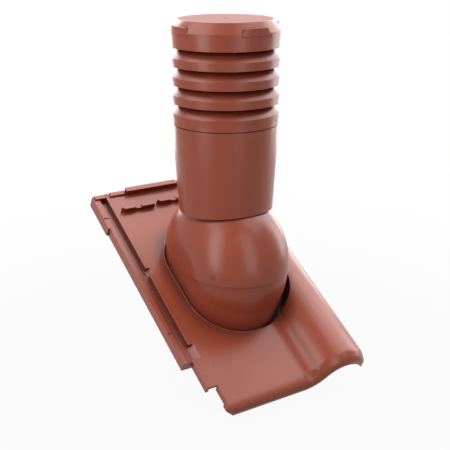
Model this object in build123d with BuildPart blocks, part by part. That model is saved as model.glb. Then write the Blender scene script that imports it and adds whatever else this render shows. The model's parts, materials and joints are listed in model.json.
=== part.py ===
from build123d import *
from math import acos, asin, cos, degrees, radians, sin, sqrt
import os

# Roof vent pipe: an interlocking roof tile with a domed seat, a hood that turns on the seat to follow
# the roof's pitch, a tapered sleeve, a louvred cowl and a lid. Millimetres. +Z is up along the pipe,
# +X runs across the tile and +Y runs up the slope. The origin is where the pipe's axis crosses the
# plane of the tile's pan. Tile places are given as across (u), up-slope (v) and out of the pan (w).

# Roof and tile
roof_pitch = 29.5
tile_wall = 4.5
head_v = 221.0
eave_v = -208.0
lock_end_v = -117.0
step_end_v = -165.0
lock_left_u = -133.0
step_left_u = -121.5
pan_left_u = -105.0

# Side lock along the left edge
lock_depth = 20.0
rim_width = 7.5
rim_top_w = -1.5
channel_floor_w = -7.0
bead_left_u = -114.5
bead_width = 4.0
bead_height = 1.2
step_curb_width = 5.0
step_depth = 10.5
drain_top_v = 56.0
drain_bottom_v = 43.0
bead_end_v = -92.0
hook_reach = 5.0
rim_step = 1.3
rim_step_vs = (172.0, -62.0)
head_widening = 3.0
head_widening_v = 151.0

# Roll along the right edge
crest_u = 88.0
crest_w = 33.0
crest_left_radius = 50.0
crest_right_radius = 60.0
foot_radius = 28.0
roll_right_u = 136.0
roll_skirt = 5.0

# Nose along the eave
nose_length = 18.0
nose_slope_drop = 3.5
nose_height = 15.0
nose_radius = 8.0
drip_height = 3.5
drip_setback = 1.3
nose_left_cut = (6.5, 9.0)
nose_right_round = 11.0

# Head rim and head locks
head_rim_width = 8.0
low_rim_height = 3.0
corner_rim_height = 1.0
low_rim_u = (-106.0, -79.0)
high_bar_u = (-78.0, 16.0)
high_bar_2_u = (20.0, 24.5)
high_bar_height = 9.0
high_bar_width = 9.0
lock_rib_height = 8.5
lock_rib_width = 5.0
lock_rib_length = 54.0
lock_rib_point = 5.0
lock_rib_notch = 11.0
lock_rib_notch_depth = 3.0
lock_rib_notch_at = 18.0
lock_rib_starts = ((-97.0, 175.0), (-31.0, 178.0))

# Batten lugs under the head
lug_width = 34.0
lug_thickness = 9.0
lug_drop = 18.0
lug_v = 196.0
lug_us = (-80.0, 0.0)

# Pivot of the hood and the rounded form that turns about it
pivot_height = 37.0
tread_radius = 33.0
hood_half_width = 79.3
hood_wall = 2.3
hood_clearance = 0.3
seat_wall = 2.5

# Seat, opening and gasket
opening_clearance = 0.5
opening_front_v = -21.0
opening_rear_v = 46.6
well_shift = 8.0
well_wall = 3.0
rear_relief_shift = 5.0
rear_relief = 1.2
lip_width = 1.8
lip_height = 1.3
pad_width = 14.0
pad_height = 3.0
gasket_height = 2.0
flange_height = 3.0
flange_margin = 1.0
tilt_down_slope = 15.0
tilt_up_slope = 10.0
duct_slot_clearance = 2.5
seat_screw_turns = (0.0, 50.0)
seat_screw_offset = 9.0
seat_screw_radius = 2.0
seat_screw_fit = 0.0
seat_screw_play = 0.3
seat_screw_tip_gap = 0.5
seat_screw_head_radius = 4.2
seat_screw_head_height = 2.2
seat_screw_bite = 5.5

# Hood edge, neck and clamping screws
hood_front_edge_z = 33.5
hood_rear_edge_w = 27.0
neck_radius = 64.0
neck_top_z = 150.0
neck_fillet = 8.0
hood_screw_u = 68.4
hood_screw_angles = (84.7, -55.8)
hood_screw_radius = 4.5
hood_screw_shank = 2.0
hood_screw_head = 1.2
hood_screw_fit = 0.1
driver_width = 1.0
driver_depth = 0.7

# Duct
duct_radius = 55.0
duct_wall = 2.7
duct_bottom_z = -130.0
duct_rise = 7.0
duct_fit = 0.4
duct_collar_width = 5.0
duct_collar_height = 3.0
duct_seal_height = 1.5
spigot_length = 55.0
spigot_stop_height = 2.0
spigot_chamfer = 1.0

# Sleeve
sleeve_overlap = 24.0
sleeve_length = 129.0
sleeve_top_radius = 79.0
sleeve_bottom_radius = 71.3
sleeve_wall = 2.5
sleeve_saddle = 5.5
sleeve_ledge = 2.5
sleeve_ledge_clearance = 0.8

# Louvred cowl
louvre_pitch = 26.8
louvre_count = 4
louvre_rise = 16.5
louvre_height = 12.4
louvre_top_radius = 81.6
louvre_bottom_radius = 80.3
louvre_wall = 2.5
blade_inner_radius = 67.0
blade_rise = 14.5
blade_lip = 0.8
fin_count = 8
fin_inner_radius = 60.0
fin_outer_radius = 69.5
fin_thickness = 2.6
cowl_spigot_length = 15.0
cowl_spigot_fit = 0.3
cowl_skirt_step = 1.2
crown_gap = 14.6
crown_height = 23.2
crown_bottom_radius = 80.5
crown_top_radius = 82.3
crown_wall = 2.8
crown_ledge_drop = 5.0
crown_ledge_lap = 1.2
merlon_height = 8.3
merlon_depth = 4.2
merlon_top_width = 37.0
merlon_bottom_width = 46.0

# Lid
lid_height = 15.8
lid_top_radius = 69.0
lid_wall = 2.5
lid_fit = 0.3
lid_slot = 1.4
lid_dimple_radius = 3.0
lid_dimple_depth = 0.7

# Worked out from the sizes above
pitch = radians(roof_pitch)
duct_collar_radius = duct_radius + duct_collar_width
pivot_v = pivot_height * sin(pitch)
pivot_w = pivot_height * cos(pitch)
seat_half_width = hood_half_width - hood_wall - hood_clearance
opening_radius = seat_half_width + opening_clearance
pan_under_w = -tile_wall
pad_under_w = pan_under_w - pad_height
gasket_under_w = pad_under_w - gasket_height
flange_under_w = gasket_under_w - flange_height
sleeve_bottom_z = neck_top_z - sleeve_overlap
sleeve_top_z = sleeve_bottom_z + sleeve_length
sleeve_slope = (sleeve_top_radius - sleeve_bottom_radius) / sleeve_length
cowl_bottom_z = sleeve_top_z
duct_top_z = cowl_bottom_z + duct_rise
louvre_top_z = cowl_bottom_z + louvre_rise
crown_bottom_z = louvre_top_z + (louvre_count - 1) * louvre_pitch + crown_gap
crown_top_z = crown_bottom_z + crown_height
crown_slope = (crown_top_radius - crown_bottom_radius) / crown_height
crown_ledge_z = crown_top_z - crown_ledge_drop
merlon_top_z = crown_top_z + merlon_height
lid_top_z = crown_top_z + lid_height
roof = Plane(origin=(0, 0, 0), x_dir=(1, 0, 0), z_dir=(0, -sin(pitch), cos(pitch)))
pivot_axis = Axis((0, 0, pivot_height), (1, 0, 0))


def across(v):
    """Plane across the tile at v: sketches are (u, w) and an extrusion runs down the slope."""
    return Plane(origin=roof.from_local_coords((0, v, 0)), x_dir=(1, 0, 0), z_dir=-roof.y_dir)


def along(u):
    """Plane along the tile at u: sketches are (v, w) and an extrusion runs to the right."""
    return Plane(origin=roof.from_local_coords((u, 0, 0)), x_dir=roof.y_dir, z_dir=(1, 0, 0))


def sleeve_radius(z):
    """Outer radius of the tapered sleeve at a height."""
    return sleeve_bottom_radius + (z - sleeve_bottom_z) * sleeve_slope


def crown_radius(z):
    """Outer radius of the crown at a height."""
    return crown_bottom_radius + (z - crown_bottom_z) * crown_slope


def roll_slope():
    """Steepest slope of the roll's left flank, where its two arcs meet, in degrees."""
    return degrees(acos(1 - crest_w / (crest_left_radius + foot_radius)))


def roll_foot_u():
    """Where the roll's foot arc leaves the flat pan."""
    return crest_u - (crest_left_radius + foot_radius) * sin(radians(roll_slope()))


def right_angle():
    """Angle that the roll's right arc turns through, from the crest to the right edge."""
    return degrees(asin((roll_right_u - crest_u) / crest_right_radius))


def roll_line(depth):
    """Foot arc, left arc and right arc of the roll, at a depth below the tile's top face."""
    slope = roll_slope()
    CenterArc((roll_foot_u(), foot_radius), foot_radius + depth, -90, slope)
    CenterArc((crest_u, crest_w - crest_left_radius), crest_left_radius - depth, 90, slope)
    CenterArc((crest_u, crest_w - crest_right_radius), crest_right_radius - depth, 90, -right_angle())


def roll_end(depth):
    """Right end of the roll's arc at a depth below the top face."""
    turn = radians(right_angle())
    reach = crest_right_radius - depth
    return (crest_u + reach * sin(turn), crest_w - crest_right_radius + reach * cos(turn))


def shell_section(left_points, left_under):
    """Wall of pan and roll, closed at the left by the points given from the pan down and round."""
    top_end = roll_end(0)
    under_end = roll_end(tile_wall)
    skirt_w = top_end[1] - roll_skirt
    with BuildLine() as section:
        roll_line(0)
        roll_line(tile_wall)
        Polyline(top_end, (top_end[0], skirt_w), (under_end[0], skirt_w), under_end)
        Polyline((roll_foot_u(), 0), *left_points, left_under, (roll_foot_u(), pan_under_w))
    make_face(section.edges())


def slot_outline(radius, front_v, rear_v, shift=0.0):
    """Rounded opening outline on a plane parallel to the pan."""
    with Locations((shift, (front_v + rear_v) / 2)):
        SlotCenterToCenter(rear_v - front_v, 2 * radius, rotation=90)


def tread_profile(half_width):
    """Half section of the rounded form that turns about the pivot: flat sides and a round tread."""
    with BuildLine() as section:
        Polyline((-half_width, tread_radius), (-half_width, 0), (half_width, 0), (half_width, tread_radius))
        ThreePointArc(
            (-half_width, tread_radius), (0, tread_radius + half_width), (half_width, tread_radius)
        )
    make_face(section.edges())


def opening_outline(growth=0.0):
    """The tile's opening, grown by a margin: round the seat, with a wider well towards the roll."""
    slot_outline(opening_radius + growth, opening_front_v, opening_rear_v)
    slot_outline(opening_radius + growth, opening_front_v, opening_rear_v, well_shift)
    with Locations((rear_relief_shift, pivot_v + tread_radius)):
        Circle(hood_half_width + rear_relief + growth)
    with Locations((roll_foot_u() - opening_radius, pivot_v + tread_radius + opening_radius)):
        Rectangle(2 * opening_radius, 2 * opening_radius - 2 * growth, mode=Mode.SUBTRACT)
    slot_outline(opening_radius + growth, opening_front_v, opening_rear_v)


def seat_screw_points():
    """Screw places round the flange, on a plane parallel to the pan."""
    places = []
    ring = opening_radius + seat_screw_offset
    for side, shift in ((-1, 0), (1, well_shift)):
        for centre_v, direction in ((opening_front_v, -1), (opening_rear_v, 1)):
            for turn in seat_screw_turns:
                reach_u = side * ring * cos(radians(turn))
                reach_v = direction * ring * sin(radians(turn))
                places.append((shift + reach_u, centre_v + reach_v))
    return places


def tread_solid(half_width):
    """Rounded form about the pivot, as one solid."""
    with BuildPart() as form:
        with BuildSketch(Plane(origin=(0, 0, pivot_height), x_dir=(1, 0, 0), z_dir=(0, -1, 0))):
            tread_profile(half_width)
        revolve(axis=pivot_axis)
    return form.part


def seat_solid(half_width):
    """Rounded form carried down to the flange: a leaning front wall, then a straight collar."""
    front_v = pivot_v - tread_radius
    lean = roof.y_dir * (opening_front_v - front_v) - roof.z_dir * pivot_w
    with BuildPart() as form:
        add(tread_solid(half_width))
        with BuildSketch(roof.offset(pivot_w)):
            with Locations((0, front_v)):
                Circle(half_width)
                Rectangle(2 * half_width, 2 * tread_radius, align=(Align.CENTER, Align.MIN))
        extrude(amount=lean.length, dir=lean.normalized())
        with BuildSketch(roof.offset(flange_under_w)):
            slot_outline(half_width, opening_front_v, opening_rear_v)
        extrude(amount=-flange_under_w)
        with BuildSketch(roof.offset(flange_under_w)):
            Rectangle(4 * half_width, 6 * half_width)
        extrude(amount=-2 * half_width, mode=Mode.SUBTRACT)
    return form.part


def hood_screw_planes():
    """Planes that touch the hood where its screws sit, each facing straight out."""
    planes = []
    turn_in = asin(hood_screw_u / hood_half_width)
    for angle in hood_screw_angles:
        radial = Vector(0, -sin(radians(angle)), cos(radians(angle)))
        for side in (-1, 1):
            out = Vector(side * sin(turn_in), 0, 0) + radial * cos(turn_in)
            reach = radial * (tread_radius + hood_half_width * cos(turn_in))
            centre = Vector(side * hood_screw_u, 0, pivot_height) + reach
            planes.append(Plane(origin=centre, x_dir=radial.cross(out), z_dir=out))
    return planes


def louvre_base(index):
    """Height of a louvre ring's lower edge."""
    return louvre_top_z + index * louvre_pitch - louvre_height


def merlon_half_width(z):
    """Half of a merlon's width at a height: its sides lean inward towards the top."""
    share = (z - crown_top_z) / (merlon_top_z - crown_top_z)
    return (merlon_bottom_width + share * (merlon_top_width - merlon_bottom_width)) / 2


def merlon_cross(bottom_z, top_z, margin):
    """Two crossing bars with leaning sides, as wide as the merlons and a margin, as one solid."""
    bottom = merlon_half_width(bottom_z) + margin
    top = merlon_half_width(top_z) + margin
    with BuildPart() as cross:
        for bar_plane in (Plane.XZ, Plane.YZ):
            with BuildSketch(bar_plane):
                with BuildLine() as section:
                    Polyline((-bottom, bottom_z), (bottom, bottom_z), (top, top_z), (-top, top_z), close=True)
                make_face(section.edges())
            extrude(amount=2 * crown_top_radius, both=True)
    return cross.part


# Base tile
channel_right_u = bead_left_u
bead_right_u = bead_left_u + bead_width
rim_right_u = lock_left_u + rim_width
channel_under_w = channel_floor_w - tile_wall
lock_points = (
    (bead_right_u, 0),
    (bead_right_u, bead_height),
    (bead_left_u, bead_height),
    (bead_left_u, channel_floor_w),
    (rim_right_u, channel_floor_w),
    (rim_right_u, rim_top_w),
    (lock_left_u, rim_top_w),
    (lock_left_u, -lock_depth),
    (lock_left_u + tile_wall, -lock_depth),
    (lock_left_u + tile_wall, channel_under_w),
    (bead_right_u, channel_under_w),
)
step_points = (
    (step_left_u + step_curb_width, 0),
    (step_left_u + step_curb_width, bead_height),
    (step_left_u, bead_height),
    (step_left_u, -step_depth),
    (step_left_u + tile_wall, -step_depth),
)
pan_points = ((pan_left_u, 0), (pan_left_u, -step_depth), (pan_left_u + tile_wall, -step_depth))

# Forms that shape the tile's well: everything under its top face, cut to the well wall and the pad
with BuildPart() as under_top:
    with BuildSketch(across(head_v)):
        with BuildLine():
            roll_line(0)
            Polyline(
                roll_end(0),
                (roll_end(0)[0], pad_under_w),
                (pan_left_u, pad_under_w),
                (pan_left_u, 0),
                (roll_foot_u(), 0),
            )
        make_face()
    extrude(amount=head_v - eave_v)

with BuildPart() as well:
    with BuildSketch(roof.offset(pad_under_w)):
        opening_outline(well_wall)
    extrude(amount=crest_w + lock_depth)
    with BuildSketch(roof.offset(pad_under_w)):
        opening_outline(pad_width)
    extrude(amount=pad_height + tile_wall / 2)
    add(under_top.part, mode=Mode.INTERSECT)

with BuildPart() as base_tile:
    with BuildSketch(across(head_v)):
        shell_section(lock_points, (bead_right_u, pan_under_w))
    extrude(amount=head_v - lock_end_v)
    with BuildSketch(across(lock_end_v)):
        shell_section(step_points, (step_left_u + tile_wall, pan_under_w))
    extrude(amount=lock_end_v - step_end_v)
    with BuildSketch(across(step_end_v)):
        shell_section(pan_points, (pan_left_u + tile_wall, pan_under_w))
    extrude(amount=step_end_v - eave_v - nose_length)

    # Closed ends of the hollow lock block
    for end_v in (head_v, lock_end_v + tile_wall):
        with BuildSketch(across(end_v)):
            with BuildLine():
                Polyline(
                    (lock_left_u, rim_top_w),
                    (lock_left_u, -lock_depth),
                    (bead_right_u, -lock_depth),
                    (bead_right_u, channel_floor_w),
                    (rim_right_u, channel_floor_w),
                    (rim_right_u, rim_top_w),
                    close=True,
                )
            make_face()
        extrude(amount=tile_wall)

    # Wider side wall at the head, and the lower runs of the rim further down
    with BuildSketch(across(head_v)):
        with Locations((lock_left_u - head_widening, rim_top_w)):
            Rectangle(head_widening + tile_wall, lock_depth + rim_top_w, align=(Align.MIN, Align.MAX))
    extrude(amount=head_v - head_widening_v)
    for index, step_v in enumerate(rim_step_vs):
        with BuildSketch(across(step_v)):
            with Locations((lock_left_u - head_widening, rim_top_w)):
                Rectangle(rim_width + head_widening, rim_step * (index + 1), align=(Align.MIN, Align.MAX))
        extrude(amount=step_v - lock_end_v, mode=Mode.SUBTRACT)

    # Drain gap in the bead: the pan runs down into the channel, and each run of the bead ends in a hook
    with BuildSketch(across(drain_top_v)):
        with BuildLine():
            Polyline(
                (bead_left_u, channel_floor_w),
                (bead_left_u, bead_height),
                (bead_right_u + hook_reach, bead_height),
                (bead_right_u + hook_reach, 0),
                close=True,
            )
        make_face()
    extrude(amount=drain_top_v - drain_bottom_v, mode=Mode.SUBTRACT)
    with BuildSketch(across(bead_end_v)):
        with BuildLine():
            Polyline(
                (bead_left_u, channel_floor_w),
                (bead_left_u, bead_height),
                (bead_right_u + hook_reach, bead_height),
                (bead_right_u + hook_reach, 0),
                close=True,
            )
        make_face()
    extrude(amount=bead_end_v - lock_end_v, mode=Mode.SUBTRACT)

    # Nose along the eave: its section follows the tile's top line
    with BuildLine(across(eave_v + nose_length)) as nose_path:
        Line((pan_left_u, 0), (roll_foot_u(), 0))
        roll_line(0)
    with BuildSketch(along(pan_left_u)):
        with BuildLine():
            Polyline(
                (eave_v + drip_setback, -nose_height + drip_height),
                (eave_v, -nose_height + drip_height),
                (eave_v, -nose_height),
                (eave_v + nose_length, -nose_height),
                (eave_v + nose_length, 0),
                (eave_v + nose_radius, -nose_slope_drop),
            )
            TangentArc(
                (eave_v + nose_radius, -nose_slope_drop),
                (eave_v + drip_setback, -nose_height + drip_height),
                tangent=(-nose_length + nose_radius, -nose_slope_drop),
            )
        make_face()
    sweep(path=nose_path.wire())

    # Nose corners: the left one is cut off at an angle, the right one is rounded
    with BuildSketch(roof.offset(-lock_depth)):
        with BuildLine():
            Polyline(
                (pan_left_u, eave_v),
                (pan_left_u, eave_v + nose_left_cut[1]),
                (pan_left_u + nose_left_cut[0], eave_v),
                close=True,
            )
        make_face()
        with Locations((roll_right_u, eave_v)):
            Rectangle(2 * nose_right_round, 2 * nose_right_round)
        with Locations((roll_right_u - nose_right_round, eave_v + nose_right_round)):
            Circle(nose_right_round, mode=Mode.SUBTRACT)
            Rectangle(
                2 * nose_right_round, nose_right_round, align=(Align.CENTER, Align.MIN), mode=Mode.SUBTRACT
            )
            Rectangle(
                nose_right_round, 2 * nose_right_round, align=(Align.MAX, Align.CENTER), mode=Mode.SUBTRACT
            )
    extrude(amount=2 * lock_depth + crest_w, mode=Mode.SUBTRACT)

    # Head rim, high bar and head locks
    for rim_us, rim_height in (((lock_left_u, low_rim_u[0]), corner_rim_height), (low_rim_u, low_rim_height)):
        with BuildSketch(across(head_v)):
            with Locations((rim_us[0], rim_height)):
                Rectangle(rim_us[1] - rim_us[0], rim_height - pan_under_w, align=(Align.MIN, Align.MAX))
        extrude(amount=head_rim_width)
    for bar_us in (high_bar_u, high_bar_2_u):
        with BuildSketch(across(head_v)):
            with Locations((bar_us[0], high_bar_height)):
                Rectangle(bar_us[1] - bar_us[0], high_bar_height - pan_under_w, align=(Align.MIN, Align.MAX))
        extrude(amount=high_bar_width)
    for start_u, front_v in lock_rib_starts:
        notch_u = start_u + lock_rib_notch_at
        end_u = start_u + lock_rib_length
        low_w = lock_rib_height - lock_rib_notch_depth
        with BuildSketch(across(front_v + lock_rib_width)):
            with BuildLine():
                Polyline(
                    (start_u, -tile_wall / 2),
                    (start_u, lock_rib_height),
                    (notch_u, lock_rib_height),
                    (notch_u + lock_rib_notch_depth, low_w),
                    (notch_u + lock_rib_notch, low_w),
                    (notch_u + lock_rib_notch + lock_rib_notch_depth / 2, lock_rib_height),
                    (end_u, lock_rib_height),
                    (end_u, -tile_wall / 2),
                    close=True,
                )
            make_face()
        extrude(amount=lock_rib_width)
        with BuildSketch(roof.offset(-tile_wall / 2)):
            with BuildLine():
                Polyline(
                    (start_u, front_v),
                    (start_u, front_v + lock_rib_width),
                    (start_u - lock_rib_point, front_v + lock_rib_width),
                    close=True,
                )
            make_face()
        extrude(amount=lock_rib_height + tile_wall / 2)

    # Batten lugs
    for lug_u in lug_us:
        with BuildSketch(across(lug_v)):
            with Locations((lug_u, pan_under_w / 2)):
                Rectangle(lug_width, lug_drop, align=(Align.CENTER, Align.MAX))
        extrude(amount=lug_thickness)

    # Well wall through the roll and pad under the pan, the raised lip, then the opening itself
    add(well.part)
    with BuildSketch(roof):
        slot_outline(opening_radius + lip_width, opening_front_v, opening_rear_v)
    extrude(amount=lip_height)
    with BuildSketch(roof.offset(-lock_depth)):
        opening_outline()
    extrude(amount=2 * lock_depth + crest_w, mode=Mode.SUBTRACT)
    with BuildSketch(roof.offset(pad_under_w)):
        with Locations(*seat_screw_points()):
            Circle(seat_screw_radius + seat_screw_fit)
    extrude(amount=seat_screw_bite + seat_screw_tip_gap, mode=Mode.SUBTRACT)

# Dome seat, with its flange under the tile and the slot that the duct swings in
duct_reach = sqrt((tread_radius + seat_half_width) ** 2 - duct_radius**2)
slot_front_y = -duct_reach * sin(radians(tilt_down_slope))
slot_rear_y = duct_reach * sin(radians(tilt_up_slope))

with BuildPart() as dome_seat:
    add(seat_solid(seat_half_width))
    with BuildSketch(roof.offset(flange_under_w)):
        opening_outline(pad_width - flange_margin)
    extrude(amount=flange_height)
    add(seat_solid(seat_half_width - seat_wall), mode=Mode.SUBTRACT)
    with BuildSketch(Plane.XY.offset(pivot_height + tread_radius)):
        slot_outline(duct_radius + duct_slot_clearance, slot_front_y, slot_rear_y)
    extrude(amount=neck_top_z, mode=Mode.SUBTRACT)
    with BuildSketch(roof.offset(flange_under_w)):
        with Locations(*seat_screw_points()):
            Circle(seat_screw_radius + seat_screw_play)
    extrude(amount=flange_height, mode=Mode.SUBTRACT)

with BuildPart() as dome_gasket:
    with BuildSketch(roof.offset(gasket_under_w)):
        opening_outline(pad_width - flange_margin)
        with Locations((0, (opening_front_v + opening_rear_v) / 2)):
            SlotCenterToCenter(
                opening_rear_v - opening_front_v, 2 * opening_radius, rotation=90, mode=Mode.SUBTRACT
            )
        with Locations(*seat_screw_points()):
            Circle(seat_screw_radius + seat_screw_play, mode=Mode.SUBTRACT)
    extrude(amount=gasket_height)

with BuildPart() as seat_screws:
    with BuildSketch(roof.offset(flange_under_w)):
        with Locations(*seat_screw_points()):
            Circle(seat_screw_head_radius)
    extrude(amount=-seat_screw_head_height)
    with BuildSketch(roof.offset(flange_under_w)):
        with Locations(*seat_screw_points()):
            Circle(seat_screw_radius)
    extrude(amount=flange_height + gasket_height + seat_screw_bite)
    with BuildSketch(roof.offset(flange_under_w - seat_screw_head_height)):
        with Locations(*seat_screw_points()):
            Rectangle(driver_width, seat_screw_head_radius)
            Rectangle(seat_screw_head_radius, driver_width)
    extrude(amount=seat_screw_head_height / 2, mode=Mode.SUBTRACT)

# Hood: a shell that turns on the seat, with the neck that carries the sleeve and holds the duct
hood_edge_y = (hood_front_edge_z * cos(pitch) - hood_rear_edge_w) / sin(pitch)
hood_reach = 2 * (tread_radius + hood_half_width)
hood_rear_edge_z = (hood_rear_edge_w + hood_reach * sin(pitch)) / cos(pitch)

with BuildPart() as hood:
    add(tread_solid(hood_half_width))
    with BuildSketch(Plane.XY.offset(pivot_height + tread_radius)):
        Circle(neck_radius)
    extrude(amount=neck_top_z - pivot_height - tread_radius)
    neck_foot = hood.edges(Select.LAST).filter_by(lambda edge: edge.center().Z < neck_top_z - neck_fillet)
    neck_foot = neck_foot.filter_by(GeomType.LINE, reverse=True)
    fillet(neck_foot, neck_fillet)
    add(tread_solid(hood_half_width - hood_wall), mode=Mode.SUBTRACT)
    with BuildSketch(Plane.XY.offset(pivot_height)):
        Circle(neck_radius - hood_wall)
    extrude(amount=neck_top_z - pivot_height - hood_wall, mode=Mode.SUBTRACT)
    with BuildSketch(Plane.XY.offset(neck_top_z)):
        Circle(duct_radius + duct_fit)
    extrude(amount=-2 * hood_wall, mode=Mode.SUBTRACT)
    with BuildSketch(Plane.YZ):
        with BuildLine():
            Polyline(
                (-hood_reach, hood_front_edge_z),
                (hood_edge_y, hood_front_edge_z),
                (hood_reach, hood_rear_edge_z),
                (hood_reach, -hood_reach),
                (-hood_reach, -hood_reach),
                close=True,
            )
        make_face()
    extrude(amount=2 * hood_half_width, both=True, mode=Mode.SUBTRACT)
    for screw_plane in hood_screw_planes():
        with BuildSketch(screw_plane.offset(hood_wall)):
            Circle(hood_screw_radius + hood_screw_fit)
        extrude(amount=-hood_wall - hood_screw_head, mode=Mode.SUBTRACT)
        with BuildSketch(screw_plane):
            Circle(hood_screw_shank + hood_screw_fit)
        extrude(amount=-2 * hood_wall, mode=Mode.SUBTRACT)

with BuildPart() as hood_screws:
    for screw_plane in hood_screw_planes():
        with BuildSketch(screw_plane.offset(-hood_screw_head)):
            Circle(hood_screw_radius)
        extrude(amount=hood_screw_head)
        with BuildSketch(screw_plane.offset(-hood_wall)):
            Circle(hood_screw_shank)
        extrude(amount=hood_wall)
        with BuildSketch(screw_plane):
            Rectangle(driver_width, hood_screw_radius)
        extrude(amount=-driver_depth, mode=Mode.SUBTRACT)

# Duct, held by the hood's neck through a seal under its collar
seal_top_z = neck_top_z + duct_seal_height

with BuildPart() as inner_duct:
    with BuildSketch(Plane.XY.offset(duct_bottom_z)):
        Circle(duct_radius)
    extrude(amount=duct_top_z - duct_bottom_z)
    chamfer(inner_duct.edges().group_by(Axis.Z)[0], spigot_chamfer)
    with BuildSketch(Plane.XY.offset(duct_bottom_z + spigot_length)):
        Circle(duct_radius + spigot_stop_height)
    extrude(amount=spigot_stop_height)
    with BuildSketch(Plane.XY.offset(seal_top_z)):
        Circle(duct_collar_radius)
    extrude(amount=duct_collar_height)
    with BuildSketch(Plane.XY.offset(duct_bottom_z)):
        Circle(duct_radius - duct_wall)
    extrude(amount=duct_top_z - duct_bottom_z, mode=Mode.SUBTRACT)

with BuildPart() as duct_seal:
    with BuildSketch(Plane.XY.offset(neck_top_z)):
        Circle(duct_collar_radius)
        Circle(duct_radius + duct_fit, mode=Mode.SUBTRACT)
    extrude(amount=duct_seal_height)

# Sleeve: a tapered tube that stands on the neck's rim by its inner ledge
ledge_inner = duct_collar_radius + sleeve_ledge_clearance
sleeve_start_z = sleeve_bottom_z - sleeve_saddle
saddle_radius = (sleeve_bottom_radius**2 + sleeve_saddle**2) / (2 * sleeve_saddle)

with BuildPart() as outer_sleeve:
    with BuildSketch(Plane.XZ):
        with BuildLine():
            Polyline(
                (sleeve_radius(sleeve_start_z) - sleeve_wall, sleeve_start_z),
                (sleeve_radius(sleeve_start_z), sleeve_start_z),
                (sleeve_radius(sleeve_top_z), sleeve_top_z),
                (sleeve_radius(sleeve_top_z) - sleeve_wall, sleeve_top_z),
                close=True,
            )
        make_face()
        with BuildLine():
            Polyline(
                (ledge_inner, neck_top_z),
                (sleeve_radius(neck_top_z) - sleeve_wall / 2, neck_top_z),
                (sleeve_radius(neck_top_z) - sleeve_wall / 2, neck_top_z + sleeve_ledge),
                (ledge_inner, neck_top_z + sleeve_ledge),
                close=True,
            )
        make_face()
    revolve(axis=Axis.Z)
    with BuildSketch(Plane.XZ):
        with Locations((0, sleeve_bottom_z - saddle_radius)):
            Circle(saddle_radius)
    extrude(amount=2 * sleeve_top_radius, both=True, mode=Mode.SUBTRACT)

# Louvred cowl: rings with blades that rise inward, joined by fins, and a crown that seats the lid
spigot_bottom_z = cowl_bottom_z - cowl_spigot_length
merlon_inner = crown_top_radius - merlon_depth
crown_ledge_inner = fin_outer_radius - crown_ledge_lap

with BuildPart() as merlons:
    with BuildSketch(Plane.XY.offset(crown_top_z - crown_wall)):
        Circle(crown_top_radius)
        Circle(merlon_inner, mode=Mode.SUBTRACT)
    extrude(amount=merlon_top_z - crown_top_z + crown_wall)
    add(merlon_cross(crown_top_z - crown_wall, merlon_top_z, 0), mode=Mode.INTERSECT)

with BuildPart() as louvre_cowl:
    with BuildSketch(Plane.XZ):
        for louvre in range(louvre_count):
            base_z = louvre_base(louvre)
            top_z = base_z + louvre_height
            blade_z = top_z + blade_rise
            with BuildLine():
                Polyline(
                    (louvre_bottom_radius - louvre_wall, base_z),
                    (louvre_bottom_radius, base_z),
                    (louvre_top_radius, top_z),
                    (louvre_top_radius - blade_lip, top_z + blade_lip),
                    (blade_inner_radius, blade_z),
                    (blade_inner_radius - louvre_wall / 2, blade_z - louvre_wall),
                    (louvre_top_radius - louvre_wall, top_z - louvre_wall),
                    close=True,
                )
            make_face()
        with BuildLine():
            Polyline(
                (sleeve_radius(cowl_bottom_z) + cowl_skirt_step, cowl_bottom_z),
                (louvre_bottom_radius, louvre_base(0)),
                (louvre_bottom_radius - louvre_wall, louvre_base(0) + louvre_wall),
                (fin_inner_radius, cowl_bottom_z + louvre_wall),
                (duct_radius + duct_fit, cowl_bottom_z + louvre_wall),
                (duct_radius + duct_fit, cowl_bottom_z),
                close=True,
            )
        make_face()
        with BuildLine():
            Polyline(
                (sleeve_radius(cowl_bottom_z) - sleeve_wall - cowl_spigot_fit, cowl_bottom_z),
                (sleeve_radius(spigot_bottom_z) - sleeve_wall - cowl_spigot_fit, spigot_bottom_z),
                (sleeve_radius(spigot_bottom_z) - 2 * sleeve_wall, spigot_bottom_z),
                (sleeve_radius(cowl_bottom_z) - 2 * sleeve_wall, cowl_bottom_z + louvre_wall / 2),
                close=True,
            )
        make_face()
        with BuildLine():
            Polyline(
                (crown_bottom_radius - crown_wall, crown_bottom_z),
                (crown_bottom_radius, crown_bottom_z),
                (crown_top_radius, crown_top_z),
                (crown_top_radius - crown_wall, crown_top_z),
                (crown_radius(crown_ledge_z) - crown_wall, crown_ledge_z),
                (crown_ledge_inner, crown_ledge_z),
                (crown_ledge_inner, crown_ledge_z - crown_wall),
                (crown_radius(crown_ledge_z - crown_wall) - crown_wall, crown_ledge_z - crown_wall),
                close=True,
            )
        make_face()
    revolve(axis=Axis.Z)
    with BuildSketch(Plane.XY.offset(cowl_bottom_z)):
        with PolarLocations((fin_inner_radius + fin_outer_radius) / 2, fin_count, 180 / fin_count):
            Rectangle(fin_outer_radius - fin_inner_radius, fin_thickness)
    extrude(amount=crown_ledge_z - cowl_bottom_z)
    add(merlons.part)

# Lid: a shallow cap whose rim drops inside the crown, notched round the merlons
lid_rim_radius = crown_radius(crown_ledge_z) - crown_wall - lid_fit

with BuildPart() as lid_notches:
    with BuildSketch(Plane.XY.offset(crown_ledge_z)):
        Circle(2 * crown_top_radius)
        Circle(merlon_inner - lid_slot, mode=Mode.SUBTRACT)
    extrude(amount=lid_top_z - crown_ledge_z)
    add(merlon_cross(crown_ledge_z, lid_top_z, lid_fit), mode=Mode.INTERSECT)

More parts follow.
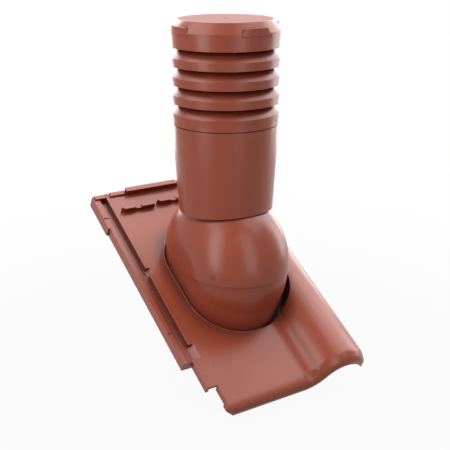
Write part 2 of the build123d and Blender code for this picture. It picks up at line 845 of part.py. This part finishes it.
with BuildPart() as cap_lid:
    with BuildSketch(Plane.XZ):
        with BuildLine():
            Polyline(
                (0, lid_top_z),
                (lid_top_radius, lid_top_z),
                (crown_top_radius, crown_top_z),
                (lid_rim_radius, crown_top_z),
                (lid_rim_radius, crown_ledge_z),
                (lid_rim_radius - lid_wall, crown_ledge_z),
                (lid_rim_radius - lid_wall, crown_top_z),
                (lid_top_radius - lid_wall, lid_top_z - lid_wall),
                (0, lid_top_z - lid_wall),
                close=True,
            )
        make_face()
    revolve(axis=Axis.Z)
    add(lid_notches.part, mode=Mode.SUBTRACT)
    with Locations((0, 0, lid_top_z)):
        Hole(lid_dimple_radius, depth=lid_dimple_depth)

# Labels and files
pieces = {
    "base_tile": base_tile,
    "dome_seat": dome_seat,
    "dome_gasket": dome_gasket,
    "seat_screws": seat_screws,
    "hood": hood,
    "hood_screws": hood_screws,
    "inner_duct": inner_duct,
    "duct_seal": duct_seal,
    "outer_sleeve": outer_sleeve,
    "louvre_cowl": louvre_cowl,
    "cap_lid": cap_lid,
}
os.makedirs("parts", exist_ok=True)
for name, piece in pieces.items():
    piece.part.label = name
    export_step(piece.part, f"parts/{name}.step")
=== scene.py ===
"""Roof vent pipe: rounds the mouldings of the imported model, finishes every surface and sets up the studio.

A terracotta roof tile carries a domed seat. A hood turns on the seat, and carries the sleeve, the louvred
cowl, the lid and the duct that runs down through the roof. All lengths are in metres."""

import json
import math

import bmesh
import bpy
from bpy.props import FloatProperty, FloatVectorProperty, IntProperty, PointerProperty
from mathutils import Euler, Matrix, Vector

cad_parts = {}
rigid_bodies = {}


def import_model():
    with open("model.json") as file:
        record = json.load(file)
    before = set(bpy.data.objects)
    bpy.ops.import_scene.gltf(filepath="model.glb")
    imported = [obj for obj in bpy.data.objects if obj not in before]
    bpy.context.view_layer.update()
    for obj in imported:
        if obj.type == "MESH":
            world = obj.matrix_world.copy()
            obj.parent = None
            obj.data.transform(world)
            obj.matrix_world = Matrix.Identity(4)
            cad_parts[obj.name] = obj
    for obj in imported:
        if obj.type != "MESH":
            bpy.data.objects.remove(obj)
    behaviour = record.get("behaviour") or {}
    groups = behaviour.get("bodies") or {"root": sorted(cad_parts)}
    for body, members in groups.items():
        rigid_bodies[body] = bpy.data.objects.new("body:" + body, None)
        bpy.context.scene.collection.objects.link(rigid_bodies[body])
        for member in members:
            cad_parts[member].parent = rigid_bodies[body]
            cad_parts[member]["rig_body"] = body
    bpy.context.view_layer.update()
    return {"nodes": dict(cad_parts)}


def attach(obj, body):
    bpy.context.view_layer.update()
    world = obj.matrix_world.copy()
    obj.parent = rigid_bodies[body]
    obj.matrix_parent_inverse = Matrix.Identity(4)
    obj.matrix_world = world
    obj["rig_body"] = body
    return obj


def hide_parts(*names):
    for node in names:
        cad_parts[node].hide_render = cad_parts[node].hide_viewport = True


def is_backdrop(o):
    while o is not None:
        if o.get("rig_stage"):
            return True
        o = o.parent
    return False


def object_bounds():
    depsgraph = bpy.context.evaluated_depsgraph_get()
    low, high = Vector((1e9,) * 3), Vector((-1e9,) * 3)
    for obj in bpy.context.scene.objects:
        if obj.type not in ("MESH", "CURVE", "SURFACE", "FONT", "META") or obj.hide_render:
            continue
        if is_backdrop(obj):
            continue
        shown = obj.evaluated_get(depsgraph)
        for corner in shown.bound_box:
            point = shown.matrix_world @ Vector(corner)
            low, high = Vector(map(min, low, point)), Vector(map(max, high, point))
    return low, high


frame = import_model()

bl_info = {
    "name": "Roof vent pipe",
    "version": (1, 0, 0),
    "blender": (4, 5, 0),
    "location": "3D View > Sidebar > Roof vent",
    "description": "Rounds and finishes the pieces of a roof vent pipe and sets up its studio",
    "category": "Object",
}

MILLIMETRE = 0.001
SLIVER = 0.04 * MILLIMETRE


class RoundingSizes(bpy.types.PropertyGroup):
    """How far the edges of each moulding are rounded"""

    tile_edge: FloatProperty(
        name="Tile edges",
        description="Rounding of the tile's rims, ribs and nose",
        default=0.5 * MILLIMETRE,
        unit="LENGTH",
    )
    seat_edge: FloatProperty(
        name="Seat edges",
        description="Rounding of the domed seat's flange and duct slot",
        default=0.5 * MILLIMETRE,
        unit="LENGTH",
    )
    hood_edge: FloatProperty(
        name="Hood edges",
        description="Rounding of the hood's rim and neck",
        default=0.4 * MILLIMETRE,
        unit="LENGTH",
    )
    sleeve_edge: FloatProperty(
        name="Sleeve edges",
        description="Rounding of the sleeve's two ends",
        default=0.35 * MILLIMETRE,
        unit="LENGTH",
    )
    cowl_edge: FloatProperty(
        name="Cowl edges",
        description="Rounding of the louvre rings, the blades and the crown",
        default=0.35 * MILLIMETRE,
        unit="LENGTH",
    )
    lid_edge: FloatProperty(
        name="Lid edges",
        description="Rounding of the lid's rim and notches",
        default=0.6 * MILLIMETRE,
        unit="LENGTH",
    )
    duct_edge: FloatProperty(
        name="Duct edges",
        description="Rounding of the duct's ends, collar and stop ring",
        default=0.5 * MILLIMETRE,
        unit="LENGTH",
    )
    rubber_edge: FloatProperty(
        name="Rubber edges",
        description="Rounding of the gasket and the duct seal",
        default=0.4 * MILLIMETRE,
        unit="LENGTH",
    )
    screw_edge: FloatProperty(
        name="Screw edges",
        description="Rounding of the screw heads",
        default=0.2 * MILLIMETRE,
        unit="LENGTH",
    )
    seam_height: FloatProperty(
        name="Seam height",
        description="Height of the shadow seam between the sleeve and the cowl",
        default=1.5 * MILLIMETRE,
        unit="LENGTH",
    )
    seam_depth: FloatProperty(
        name="Seam depth",
        description="Depth of the shadow seam between the sleeve and the cowl",
        default=1.6 * MILLIMETRE,
        unit="LENGTH",
    )
    steps: IntProperty(
        name="Steps",
        description="Facets across each rounded edge",
        default=3,
        min=1,
        max=6,
    )


class FinishColours(bpy.types.PropertyGroup):
    """Colours and gloss of the plastic, the rubber and the steel"""

    terracotta: FloatVectorProperty(
        name="Terracotta",
        description="Colour of the moulded plastic",
        subtype="COLOR",
        size=3,
        default=(0.292, 0.057, 0.027),
        min=0.0,
        max=1.0,
    )
    terracotta_deep: FloatVectorProperty(
        name="Deep terracotta",
        description="Colour of the plastic where the pigment lies thicker",
        subtype="COLOR",
        size=3,
        default=(0.260, 0.048, 0.022),
        min=0.0,
        max=1.0,
    )
    # Painted shade: ambient occlusion mixes this dark colour into the terracotta in narrow gaps and inside
    # corners, where shade falls. It is not a colour of the plastic.
    terracotta_painted_shade: FloatVectorProperty(
        name="Crevice terracotta",
        description="Colour of the plastic in narrow gaps and inside corners, where the glaze-like skin is dull",
        subtype="COLOR",
        size=3,
        default=(0.085, 0.010, 0.005),
        min=0.0,
        max=1.0,
    )
    # Reach of the painted shade: how far from an inside corner the ambient occlusion darkens the terracotta, on
    # the smooth mouldings, between the louvres, and on the tile and seat.
    moulding_shade_reach: FloatProperty(
        name="Crevice reach",
        description="How far from an inside corner the crevice colour reaches on the smooth mouldings",
        default=7.0 * MILLIMETRE,
        unit="LENGTH",
    )
    louvre_shade_reach: FloatProperty(
        name="Louvre reach",
        description="How far from an inside corner the crevice colour reaches between the louvres",
        default=22.0 * MILLIMETRE,
        unit="LENGTH",
    )
    tile_shade_reach: FloatProperty(
        name="Tile reach",
        description="How far from an inside corner the crevice colour reaches on the tile and the domed seat",
        default=30.0 * MILLIMETRE,
        unit="LENGTH",
    )
    rubber: FloatVectorProperty(
        name="Rubber",
        description="Colour of the gasket and the duct seal",
        subtype="COLOR",
        size=3,
        default=(0.012, 0.011, 0.011),
        min=0.0,
        max=1.0,
    )
    steel: FloatVectorProperty(
        name="Steel",
        description="Colour of the zinc-plated screws",
        subtype="COLOR",
        size=3,
        default=(0.56, 0.55, 0.53),
        min=0.0,
        max=1.0,
    )
    gloss: FloatProperty(
        name="Roughness",
        description="Mean roughness of the plastic",
        default=0.29,
        min=0.0,
        max=1.0,
        subtype="FACTOR",
    )
    shine: FloatProperty(
        name="Specular level",
        description="Strength of the plastic's reflection seen straight on",
        default=0.36,
        min=0.0,
        max=1.0,
        subtype="FACTOR",
    )


class StageSettings(bpy.types.PropertyGroup):
    """Camera, lamps and floor of the studio"""

    eye: FloatVectorProperty(
        name="Eye",
        description="Where the camera stands",
        subtype="TRANSLATION",
        size=3,
        default=(-0.6564, -1.0322, 0.5188),
    )
    turn: FloatProperty(
        name="Turn",
        description="Camera's heading, clockwise from the up-slope direction",
        subtype="ANGLE",
        default=math.radians(32.408),
    )
    dip: FloatProperty(
        name="Dip",
        description="How far the camera looks below the horizon",
        subtype="ANGLE",
        default=math.radians(15.579),
    )
    lens: FloatProperty(
        name="Lens",
        description="Focal length of the lens in millimetres, on a 36 mm frame",
        default=67.41,
        min=10.0,
    )
    rise: FloatProperty(
        name="Rise",
        description="Upward shift of the lens, as a share of the frame",
        default=-0.12,
    )
    floor_gap: FloatProperty(
        name="Floor gap",
        description="Gap between the floor and the lowest point of the duct",
        default=1.0 * MILLIMETRE,
        unit="LENGTH",
    )
    floor_width: FloatProperty(
        name="Floor width",
        description="Side of the square floor",
        default=60.0,
        unit="LENGTH",
    )
    overhead_back: FloatProperty(
        name="Overhead back light",
        description="Radiance of the softbox above and behind",
        default=5.2,
        min=0.0,
    )
    overhead_left: FloatProperty(
        name="Overhead left light",
        description="Radiance of the softbox above at the left",
        default=3.3,
        min=0.0,
    )
    overhead_right: FloatProperty(
        name="Overhead right light",
        description="Radiance of the softbox above at the right",
        default=2.7,
        min=0.0,
    )
    left_front: FloatProperty(
        name="Left front light",
        description="Radiance of the standing light at the front left",
        default=4.3,
        min=0.0,
    )
    right_front: FloatProperty(
        name="Right front light",
        description="Radiance of the standing light at the front right",
        default=2.2,
        min=0.0,
    )
    left_back: FloatProperty(
        name="Left back light",
        description="Radiance of the standing light behind at the left",
        default=5.0,
        min=0.0,
    )
    right_side: FloatProperty(
        name="Right side light",
        description="Radiance of the standing light at the right",
        default=4.0,
        min=0.0,
    )
    right_back: FloatProperty(
        name="Right back light",
        description="Radiance of the standing light behind at the right",
        default=3.3,
        min=0.0,
    )
    surround: FloatProperty(
        name="Surround",
        description="Strength of the even light from all round the object",
        default=0.03,
        min=0.0,
    )


def cut_seam(work, height, depth):
    """Steps the outer wall of a tapered sleeve inward just below its top, so that a seam shows there."""
    top = max(vertex.co.z for vertex in work.verts)
    outside = max(math.hypot(vertex.co.x, vertex.co.y) for vertex in work.verts) - depth
    for level in (top - height, top - 0.95 * height):
        everything = work.verts[:] + work.edges[:] + work.faces[:]
        bmesh.ops.bisect_plane(
            work, geom=everything, dist=0.001 * MILLIMETRE, plane_co=(0.0, 0.0, level), plane_no=(0.0, 0.0, 1.0)
        )
    for vertex in work.verts:
        reach = math.hypot(vertex.co.x, vertex.co.y)
        if vertex.co.z > top - 0.97 * height and reach > outside:
            vertex.co.x *= 1.0 - depth / reach
            vertex.co.y *= 1.0 - depth / reach
    work.normal_update()


def mark_edges(work, limit):
    """Weighs the edges that are to be rounded, and marks the sharp ones that are too fine for it."""
    weight = work.edges.layers.float.new("bevel_weight_edge")
    for line in work.edges:
        line.smooth = True
        if len(line.link_faces) == 2 and line.calc_face_angle() > math.radians(limit):
            breadth = min(face.calc_area() for face in line.link_faces) / line.calc_length()
            if breadth > SLIVER:
                line[weight] = 1.0
            else:
                line.smooth = False


def rounded(node, edge, steps, limit=28.0, seam=None):
    """A copy of a packed moulding with its sharp edges rounded, standing for that node."""
    source = frame["nodes"][node]
    mesh = source.data.copy()
    mesh.name = node + "_moulding"
    work = bmesh.new()
    work.from_mesh(mesh)
    bmesh.ops.remove_doubles(work, verts=work.verts, dist=0.01 * MILLIMETRE)
    bmesh.ops.dissolve_degenerate(work, edges=work.edges, dist=0.01 * MILLIMETRE)
    bmesh.ops.dissolve_limit(
        work, angle_limit=math.radians(0.2), verts=work.verts, edges=work.edges, delimit={"NORMAL"}
    )
    if seam:
        cut_seam(work, *seam)
    for face in work.faces:
        face.smooth = True
    mark_edges(work, limit)
    work.to_mesh(mesh)
    work.free()
    mesh.materials.clear()
    if mesh.has_custom_normals:
        mesh.attributes.remove(mesh.attributes["custom_normal"])
    piece = bpy.data.objects.new(node + "_moulding", mesh)
    bpy.context.scene.collection.objects.link(piece)
    bevel = piece.modifiers.new("Rounding", "BEVEL")
    bevel.width = edge
    bevel.segments = steps
    bevel.limit_method = "WEIGHT"
    bevel.use_clamp_overlap = False
    bevel.miter_outer = "MITER_ARC"
    weighted = piece.modifiers.new("Even shading", "WEIGHTED_NORMAL")
    weighted.keep_sharp = True
    weighted.weight = 80
    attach(piece, source["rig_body"])
    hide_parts(node)
    return piece


def finish(piece, material):
    """Gives a piece its material."""
    piece.data.materials.append(material)


def noise(nodes, links, coordinates, scale, detail, roughness=0.5):
    """A noise texture read in the object's own coordinates."""
    texture = nodes.new("ShaderNodeTexNoise")
    texture.inputs["Scale"].default_value = scale
    texture.inputs["Detail"].default_value = detail
    texture.inputs["Roughness"].default_value = roughness
    links.new(coordinates, texture.inputs["Vector"])
    return texture.outputs["Fac"]


def spread(nodes, links, source, low, high, to_low, to_high):
    """Maps a stretch of a texture's range to another range."""
    ranged = nodes.new("ShaderNodeMapRange")
    ranged.inputs["From Min"].default_value = low
    ranged.inputs["From Max"].default_value = high
    ranged.inputs["To Min"].default_value = to_low
    ranged.inputs["To Max"].default_value = to_high
    links.new(source, ranged.inputs["Value"])
    return ranged.outputs["Result"]


def bump(nodes, links, height, distance, strength):
    """A bump node over a height."""
    raised = nodes.new("ShaderNodeBump")
    raised.inputs["Distance"].default_value = distance
    raised.inputs["Strength"].default_value = strength
    links.new(height, raised.inputs["Height"])
    return raised.outputs["Normal"]


def blank_material(name):
    """A material with only its shader and output, and the object's coordinates."""
    material = bpy.data.materials.new(name)
    material.use_nodes = True
    nodes = material.node_tree.nodes
    links = material.node_tree.links
    nodes.clear()
    shader = nodes.new("ShaderNodeBsdfPrincipled")
    output = nodes.new("ShaderNodeOutputMaterial")
    links.new(shader.outputs["BSDF"], output.inputs["Surface"])
    coordinates = nodes.new("ShaderNodeTexCoord").outputs["Object"]
    return material, nodes, links, shader, coordinates


def terracotta_plastic(name, reach):
    """Moulded terracotta plastic: nearly even pigment, painted shade that darkens crevices and inside corners
    through ambient occlusion, and a fine spark-eroded grain.
    """
    if name in bpy.data.materials:
        return bpy.data.materials[name]
    colours = bpy.context.scene.vent_colours
    material, nodes, links, shader, coordinates = blank_material(name)
    clouds = noise(nodes, links, coordinates, 14.0, 4.0)
    pigment = noise(nodes, links, coordinates, 900.0, 2.0)
    grain = noise(nodes, links, coordinates, 2600.0, 3.0, 0.6)
    tone = nodes.new("ShaderNodeMix")
    tone.data_type = "RGBA"
    tone.inputs["A"].default_value = (*colours.terracotta, 1.0)
    tone.inputs["B"].default_value = (*colours.terracotta_deep, 1.0)
    shares = nodes.new("ShaderNodeMath")
    shares.operation = "ADD"
    links.new(spread(nodes, links, clouds, 0.0, 1.0, -0.2, 0.8), shares.inputs[0])
    links.new(spread(nodes, links, pigment, 0.0, 1.0, 0.0, 0.4), shares.inputs[1])
    links.new(shares.outputs["Value"], tone.inputs["Factor"])
    # Painted shade: ambient occlusion within the given reach darkens the base colour towards the crevice colour
    # in gaps, inside corners and between the louvres.
    painted_shade_occlusion = nodes.new("ShaderNodeAmbientOcclusion")
    painted_shade_occlusion.samples = 8
    painted_shade_occlusion.inputs["Distance"].default_value = reach
    painted_shade_mix = nodes.new("ShaderNodeMix")
    painted_shade_mix.data_type = "RGBA"
    painted_shade_mix.inputs["A"].default_value = (*colours.terracotta_painted_shade, 1.0)
    links.new(tone.outputs["Result"], painted_shade_mix.inputs["B"])
    links.new(spread(nodes, links, painted_shade_occlusion.outputs["AO"], 0.45, 0.95, 0.0, 1.0), painted_shade_mix.inputs["Factor"])
    links.new(painted_shade_mix.outputs["Result"], shader.inputs["Base Color"])
    gloss = spread(nodes, links, clouds, 0.0, 1.0, colours.gloss - 0.05, colours.gloss + 0.05)
    links.new(gloss, shader.inputs["Roughness"])
    shader.inputs["Specular IOR Level"].default_value = colours.shine
    links.new(bump(nodes, links, grain, 0.02 * MILLIMETRE, 0.2), shader.inputs["Normal"])
    return material


def black_rubber(name="black_rubber"):
    """Matt black rubber with a faint dusty bloom."""
    colours = bpy.context.scene.vent_colours
    material, nodes, links, shader, coordinates = blank_material(name)
    bloom = noise(nodes, links, coordinates, 120.0, 5.0)
    tone = nodes.new("ShaderNodeMix")
    tone.data_type = "RGBA"
    tone.inputs["A"].default_value = (*colours.rubber, 1.0)
    tone.inputs["B"].default_value = tuple(3.0 * part for part in colours.rubber) + (1.0,)
    links.new(spread(nodes, links, bloom, 0.35, 0.75, 0.0, 0.6), tone.inputs["Factor"])
    links.new(tone.outputs["Result"], shader.inputs["Base Color"])
    links.new(spread(nodes, links, bloom, 0.3, 0.7, 0.62, 0.8), shader.inputs["Roughness"])
    pores = noise(nodes, links, coordinates, 1500.0, 2.0)
    links.new(bump(nodes, links, pores, 0.03 * MILLIMETRE, 0.4), shader.inputs["Normal"])
    return material


def screw_steel(name="zinc_plated_steel"):
    """Zinc-plated steel: spangled tone and fine turning marks."""
    colours = bpy.context.scene.vent_colours
    material, nodes, links, shader, coordinates = blank_material(name)
    spangle = noise(nodes, links, coordinates, 700.0, 3.0)
    tone = nodes.new("ShaderNodeMix")
    tone.data_type = "RGBA"
    tone.inputs["A"].default_value = (*colours.steel, 1.0)
    tone.inputs["B"].default_value = tuple(0.7 * part for part in colours.steel) + (1.0,)
    links.new(spread(nodes, links, spangle, 0.35, 0.7, 0.0, 1.0), tone.inputs["Factor"])
    links.new(tone.outputs["Result"], shader.inputs["Base Color"])
    shader.inputs["Metallic"].default_value = 1.0
    links.new(spread(nodes, links, spangle, 0.3, 0.7, 0.25, 0.42), shader.inputs["Roughness"])
    links.new(bump(nodes, links, spangle, 0.01 * MILLIMETRE, 0.3), shader.inputs["Normal"])
    return material


class VENT_OT_base_tile(bpy.types.Operator):
    """Rounds and finishes the roof tile"""

    bl_idname = "vent.base_tile"
    bl_label = "Base tile"

    def execute(self, context):
        sizes = context.scene.vent_rounding
        tile = rounded("base_tile", sizes.tile_edge, sizes.steps)
        plastic = terracotta_plastic("tile_terracotta", context.scene.vent_colours.tile_shade_reach)
        finish(tile, plastic)
        return {"FINISHED"}


class VENT_OT_dome_seat(bpy.types.Operator):
    """Rounds and finishes the domed seat, its gasket and its screws"""

    bl_idname = "vent.dome_seat"
    bl_label = "Dome seat"

    def execute(self, context):
        sizes = context.scene.vent_rounding
        seat = rounded("dome_seat", sizes.seat_edge, sizes.steps)
        plastic = terracotta_plastic("tile_terracotta", context.scene.vent_colours.tile_shade_reach)
        finish(seat, plastic)
        gasket = rounded("dome_gasket", sizes.rubber_edge, sizes.steps)
        finish(gasket, black_rubber("gasket_rubber"))
        screws = rounded("seat_screws", sizes.screw_edge, sizes.steps)
        finish(screws, screw_steel())
        return {"FINISHED"}


class VENT_OT_hood(bpy.types.Operator):
    """Rounds and finishes the hood and its clamping screws"""

    bl_idname = "vent.hood"
    bl_label = "Hood"

    def execute(self, context):
        sizes = context.scene.vent_rounding
        hood = rounded("hood", sizes.hood_edge, sizes.steps)
        plastic = terracotta_plastic("moulded_terracotta", context.scene.vent_colours.moulding_shade_reach)
        finish(hood, plastic)
        screws = rounded("hood_screws", sizes.screw_edge, sizes.steps)
        finish(screws, plastic)
        return {"FINISHED"}


class VENT_OT_duct(bpy.types.Operator):
    """Rounds and finishes the duct and the seal under its collar"""

    bl_idname = "vent.duct"
    bl_label = "Duct"

    def execute(self, context):
        sizes = context.scene.vent_rounding
        duct = rounded("inner_duct", sizes.duct_edge, sizes.steps)
        plastic = terracotta_plastic("moulded_terracotta", context.scene.vent_colours.moulding_shade_reach)
        finish(duct, plastic)
        seal = rounded("duct_seal", sizes.rubber_edge, sizes.steps)
        finish(seal, black_rubber("seal_rubber"))
        return {"FINISHED"}


class VENT_OT_sleeve(bpy.types.Operator):
    """Rounds and finishes the tapered sleeve"""

    bl_idname = "vent.sleeve"
    bl_label = "Sleeve"

    def execute(self, context):
        sizes = context.scene.vent_rounding
        seam = (sizes.seam_height, sizes.seam_depth)
        sleeve = rounded("outer_sleeve", sizes.sleeve_edge, sizes.steps, seam=seam)
        plastic = terracotta_plastic("moulded_terracotta", context.scene.vent_colours.moulding_shade_reach)
        finish(sleeve, plastic)
        return {"FINISHED"}


class VENT_OT_cowl(bpy.types.Operator):
    """Rounds and finishes the louvred cowl and its lid"""

    bl_idname = "vent.cowl"
    bl_label = "Cowl and lid"

    def execute(self, context):
        sizes = context.scene.vent_rounding
        cowl = rounded("louvre_cowl", sizes.cowl_edge, sizes.steps)
        plastic = terracotta_plastic("louvre_terracotta", context.scene.vent_colours.louvre_shade_reach)
        finish(cowl, plastic)
        lid = rounded("cap_lid", sizes.lid_edge, sizes.steps)
        plastic = terracotta_plastic("moulded_terracotta", context.scene.vent_colours.moulding_shade_reach)
        finish(lid, plastic)
        return {"FINISHED"}


def seen_share(nodes, links):
    """One where the camera, a reflection or a view through glass looks on, and zero for the light itself."""
    path = nodes.new("ShaderNodeLightPath")
    seen = path.outputs["Is Camera Ray"]
    for ray in ("Is Glossy Ray", "Is Transmission Ray"):
        either = nodes.new("ShaderNodeMath")
        either.operation = "MAXIMUM"
        links.new(seen, either.inputs[0])
        links.new(path.outputs[ray], either.inputs[1])
        seen = either.outputs["Value"]
    return seen


def studio_world(strength):
    """A white backdrop to the viewer, and a soft even light on the object."""
    world = bpy.data.worlds.new("studio")
    world.use_nodes = True
    nodes = world.node_tree.nodes
    links = world.node_tree.links
    nodes.clear()
    glow = nodes.new("ShaderNodeBackground")
    glow.inputs["Color"].default_value = (1.0, 1.0, 1.0, 1.0)
    glow.inputs["Strength"].default_value = strength
    white = nodes.new("ShaderNodeBackground")
    white.inputs["Color"].default_value = (1.0, 1.0, 1.0, 1.0)
    mixed = nodes.new("ShaderNodeMixShader")
    output = nodes.new("ShaderNodeOutputWorld")
    links.new(seen_share(nodes, links), mixed.inputs["Fac"])
    links.new(glow.outputs["Background"], mixed.inputs[1])
    links.new(white.outputs["Background"], mixed.inputs[2])
    links.new(mixed.outputs["Shader"], output.inputs["Surface"])
    bpy.context.scene.world = world


def floor_material():
    """A pale matt floor that shows the object's shadow near it and melts into the backdrop farther out."""
    material = bpy.data.materials.new("studio_floor")
    material.use_nodes = True
    nodes = material.node_tree.nodes
    links = material.node_tree.links
    nodes.clear()
    matt = nodes.new("ShaderNodeBsdfDiffuse")
    matt.inputs["Color"].default_value = (0.2, 0.2, 0.2, 1.0)
    distance = nodes.new("ShaderNodeVectorMath")
    distance.operation = "LENGTH"
    links.new(nodes.new("ShaderNodeTexCoord").outputs["Object"], distance.inputs[0])
    whiteness = spread(nodes, links, distance.outputs["Value"], 0.3, 1.0, 0.94, 1.0)
    share = nodes.new("ShaderNodeMath")
    share.operation = "MULTIPLY"
    links.new(seen_share(nodes, links), share.inputs[0])
    links.new(whiteness, share.inputs[1])
    white = nodes.new("ShaderNodeEmission")
    mixed = nodes.new("ShaderNodeMixShader")
    output = nodes.new("ShaderNodeOutputMaterial")
    links.new(share.outputs["Value"], mixed.inputs["Fac"])
    links.new(matt.outputs["BSDF"], mixed.inputs[1])
    links.new(white.outputs["Emission"], mixed.inputs[2])
    links.new(mixed.outputs["Shader"], output.inputs["Surface"])
    return material


def softbox(name, place, aim, width, height, radiance):
    """A rectangular lamp of a given radiance that faces a point."""
    data = bpy.data.lights.new(name, "AREA")
    data.shape = "RECTANGLE"
    data.size = width
    data.size_y = height
    data.energy = radiance * math.pi * width * height
    lamp = bpy.data.objects.new(name, data)
    lamp.location = place
    lamp.rotation_euler = (Vector(aim) - Vector(place)).to_track_quat("-Z", "Y").to_euler()
    lamp.visible_camera = False
    bpy.context.scene.collection.objects.link(lamp)


def around(heading, distance, height):
    """A point round the pipe, at a heading measured from the camera's side, positive to its right."""
    turn = bpy.context.scene.vent_stage.turn
    angle = turn - math.radians(heading)
    return (-distance * math.sin(angle), -distance * math.cos(angle), height)


class VENT_OT_stage(bpy.types.Operator):
    """Makes the camera, the lamps, the pale surround and the floor"""

    bl_idname = "vent.stage"
    bl_label = "Stage"

    def execute(self, context):
        scene = context.scene
        stage = scene.vent_stage
        lens = bpy.data.cameras.new("camera")
        lens.sensor_width = 36.0
        lens.lens = stage.lens
        lens.shift_y = stage.rise
        lens.clip_start = 0.01
        lens.clip_end = 60.0
        camera = bpy.data.objects.new("camera", lens)
        camera.location = stage.eye
        camera.rotation_euler = Euler((math.pi / 2 - stage.dip, 0.0, -stage.turn))
        scene.collection.objects.link(camera)
        scene.camera = camera
        studio_world(stage.surround)
        aim = (0.0, 0.0, 0.12)
        high = (1.5, 2.6, 1.7, 1.7)
        standing = (0.9, 0.45, 0.4, 1.1)
        for name, heading, (distance, height, width, tall), radiance in (
            ("overhead_back", 180.0, high, stage.overhead_back),
            ("overhead_left", -90.0, high, stage.overhead_left),
            ("overhead_right", 90.0, high, stage.overhead_right),
            ("left_front", -45.0, standing, stage.left_front),
            ("right_front", 30.0, standing, stage.right_front),
            ("left_back", -148.0, standing, stage.left_back),
            ("right_side", 120.0, standing, stage.right_side),
            ("right_back", 150.0, standing, stage.right_back),
        ):
            softbox(name, around(heading, distance, height), aim, width, tall, radiance)
        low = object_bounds()[0].z - stage.floor_gap
        half = stage.floor_width / 2
        mesh = bpy.data.meshes.new("floor")
        corners = [(-half, -half, low), (half, -half, low), (half, half, low), (-half, half, low)]
        mesh.from_pydata(corners, [], [(0, 1, 2, 3)])
        mesh.materials.append(floor_material())
        floor = bpy.data.objects.new("floor", mesh)
        scene.collection.objects.link(floor)
        floor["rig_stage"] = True
        scene.view_settings.view_transform = "Standard"
        return {"FINISHED"}


class VENT_PT_panel(bpy.types.Panel):
    """Sizes, colours and steps of the roof vent pipe"""

    bl_idname = "VENT_PT_panel"
    bl_label = "Roof vent pipe"
    bl_space_type = "VIEW_3D"
    bl_region_type = "UI"
    bl_category = "Roof vent"

    def draw(self, context):
        scene = context.scene
        for group in (scene.vent_rounding, scene.vent_colours, scene.vent_stage):
            box = self.layout.box()
            for name in group.bl_rna.properties.keys():
                if name not in ("rna_type", "name"):
                    box.prop(group, name)
        for operator in OPERATORS:
            self.layout.operator(operator.bl_idname)


OPERATORS = (
    VENT_OT_base_tile,
    VENT_OT_dome_seat,
    VENT_OT_hood,
    VENT_OT_duct,
    VENT_OT_sleeve,
    VENT_OT_cowl,
    VENT_OT_stage,
)
GROUPS = (RoundingSizes, FinishColours, StageSettings)


def register():
    for item in GROUPS + OPERATORS + (VENT_PT_panel,):
        bpy.utils.register_class(item)
    bpy.types.Scene.vent_rounding = PointerProperty(type=RoundingSizes)
    bpy.types.Scene.vent_colours = PointerProperty(type=FinishColours)
    bpy.types.Scene.vent_stage = PointerProperty(type=StageSettings)


def unregister():
    del bpy.types.Scene.vent_rounding
    del bpy.types.Scene.vent_colours
    del bpy.types.Scene.vent_stage
    for item in reversed(GROUPS + OPERATORS + (VENT_PT_panel,)):
        bpy.utils.unregister_class(item)


def main():
    """Makes every piece and the stage."""
    register()
    bpy.ops.vent.base_tile()
    bpy.ops.vent.dome_seat()
    bpy.ops.vent.hood()
    bpy.ops.vent.duct()
    bpy.ops.vent.sleeve()
    bpy.ops.vent.cowl()
    bpy.ops.vent.stage()


if __name__ == "__main__":
    main()
